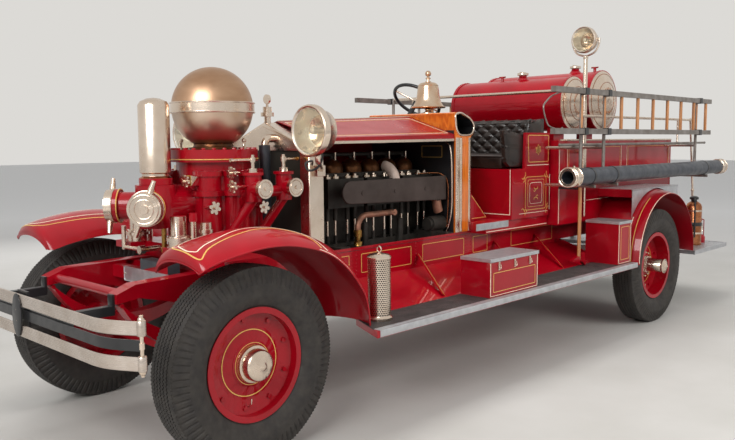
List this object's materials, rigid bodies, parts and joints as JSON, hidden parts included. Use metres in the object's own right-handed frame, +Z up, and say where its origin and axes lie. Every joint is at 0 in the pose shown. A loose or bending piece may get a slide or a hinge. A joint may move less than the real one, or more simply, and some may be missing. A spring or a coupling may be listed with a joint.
{
  "type": "antique fire engine",
  "caption": "Front-pump fire engine with open engine, ball air chamber, side ladders, suction hoses, chemical tanks and an open bench seat.",
  "frame": {"origin": "on the ground under the centre of the bounding box", "axes": "+X forward, +Y to the vehicle's left, +Z up"},
  "size_m": [7.22, 2.41, 2.667],
  "materials": {
    "red_paint": "gloss vehicle enamel, some wear",
    "black_paint": "satin black enamel",
    "nickel": "nickel plate, warm and slightly dulled",
    "iron": "oily dark casting",
    "tyre": "black rubber",
    "aluminium": "embossed plate",
    "leather": "black buttoned leather",
    "ash_wood": "varnished hardwood",
    "hose_rubber": "black rubber hose",
    "brass": "aged brass and copper"
  },
  "bodies": {
    "chassis": {"air_chamber": "nickel", "axe": "red_paint", "bell": "nickel", "booster_tanks": "red_paint", "bumper_carrier": "black_paint", "dash_cowl": "ash_wood", "engine": "iron", "exhaust_manifold": "iron", "extinguisher": "brass", "frame": "red_paint", "front_axle": "red_paint", "front_bumper": "nickel", "handrail": "nickel", "hood": "red_paint", "hose_body": "red_paint", "lantern": "red_paint", "left_front_fender": "red_paint", "left_headlight": "nickel", "left_ladder": "ash_wood", "left_rear_fender": "red_paint", "left_running_board": "red_paint", "left_suction_hose": "hose_rubber", "pump_body": "red_paint", "radiator_core": "black_paint", "radiator_hose": "hose_rubber", "radiator_shell": "nickel", "rear_axle": "red_paint", "right_front_fender": "red_paint", "right_headlight": "nickel", "right_ladder": "ash_wood", "right_rear_fender": "red_paint", "right_running_board": "red_paint", "right_suction_hose": "hose_rubber", "searchlight_pole": "nickel", "seat_back": "leather", "seat_box": "red_paint", "seat_cushion": "leather", "starting_crank": "nickel", "steering_column": "black_paint", "strainer": "nickel", "suction_air_chamber": "nickel", "suction_manifold": "red_paint", "tailboard": "aluminium"},
    "left_knuckle": {"left_knuckle": "red_paint"},
    "right_knuckle": {"right_knuckle": "red_paint"},
    "tie_rod": {"tie_rod": "red_paint"},
    "front_left_wheel": {"front_left_wheel": "red_paint", "front_left_tyre": "tyre"},
    "front_right_wheel": {"front_right_wheel": "red_paint", "front_right_tyre": "tyre"},
    "rear_left_wheel": {"rear_left_wheel": "red_paint", "rear_left_tyre": "tyre"},
    "rear_right_wheel": {"rear_right_wheel": "red_paint", "rear_right_tyre": "tyre"},
    "steering_wheel": {"steering_wheel": "black_paint"},
    "searchlight": {"searchlight": "nickel"},
    "left_box_lid_1": {"left_box_lid_1": "aluminium"},
    "left_box_lid_2": {"left_box_lid_2": "aluminium"},
    "right_box_lid_1": {"right_box_lid_1": "aluminium"},
    "right_box_lid_2": {"right_box_lid_2": "aluminium"}
  },
  "joints": [
    {"name": "left_steer", "type": "hinge", "parent": "chassis", "child": "left_knuckle", "pos_m": [2.74, 0.655, 0.53], "axis": [0, 0, 1], "range_deg": [-28, 28]},
    {"name": "right_steer", "type": "hinge", "parent": "chassis", "child": "right_knuckle", "pos_m": [2.74, -0.655, 0.53], "axis": [0, 0, 1], "range_deg": [-28, 28]},
    {"name": "tie_rod_slide", "type": "slide", "parent": "chassis", "child": "tie_rod", "axis": [0, 1, 0], "range_m": [-0.085, 0.085]},
    {"name": "front_left_spin", "type": "hinge", "parent": "left_knuckle", "child": "front_left_wheel", "pos_m": [2.74, 0.842, 0.53], "axis": [0, 1, 0], "continuous": true},
    {"name": "front_right_spin", "type": "hinge", "parent": "right_knuckle", "child": "front_right_wheel", "pos_m": [2.74, -0.842, 0.53], "axis": [0, 1, 0], "continuous": true},
    {"name": "rear_left_spin", "type": "hinge", "parent": "chassis", "child": "rear_left_wheel", "pos_m": [-1.837, 1.01, 0.53], "axis": [0, 1, 0], "continuous": true},
    {"name": "rear_right_spin", "type": "hinge", "parent": "chassis", "child": "rear_right_wheel", "pos_m": [-1.837, -1.01, 0.53], "axis": [0, 1, 0], "continuous": true},
    {"name": "steering_wheel_turn", "type": "hinge", "parent": "chassis", "child": "steering_wheel", "pos_m": [-0.02, -0.39, 2.06], "axis": [-0.6198, 0, 0.7848], "range_deg": [-450, 450]},
    {"name": "searchlight_swivel", "type": "hinge", "parent": "chassis", "child": "searchlight", "pos_m": [-0.98, 0.79, 2.396], "axis": [0, 0, 1], "range_deg": [-165, 165]},
    {"name": "left_box_lid_1_hinge", "type": "hinge", "parent": "chassis", "child": "left_box_lid_1", "pos_m": [0.5955, 0.876, 0.8783], "axis": [1, 0, 0], "range_deg": [0, 95]},
    {"name": "left_box_lid_2_hinge", "type": "hinge", "parent": "chassis", "child": "left_box_lid_2", "pos_m": [-1.125, 0.808, 0.9813], "axis": [1, 0, 0], "range_deg": [0, 95]},
    {"name": "right_box_lid_1_hinge", "type": "hinge", "parent": "chassis", "child": "right_box_lid_1", "pos_m": [0.5955, -0.876, 0.8783], "axis": [-1, 0, 0], "range_deg": [0, 95]},
    {"name": "right_box_lid_2_hinge", "type": "hinge", "parent": "chassis", "child": "right_box_lid_2", "pos_m": [-1.125, -0.808, 0.9813], "axis": [-1, 0, 0], "range_deg": [0, 95]}
  ],
  "couplings": [
    {"joint": "right_steer", "follows": "left_steer", "ratio": 1},
    {"joint": "tie_rod_slide", "follows": "left_steer", "m_per_rad": -0.165},
    {"joint": "steering_wheel_turn", "follows": "left_steer", "ratio": 16}
  ]
}
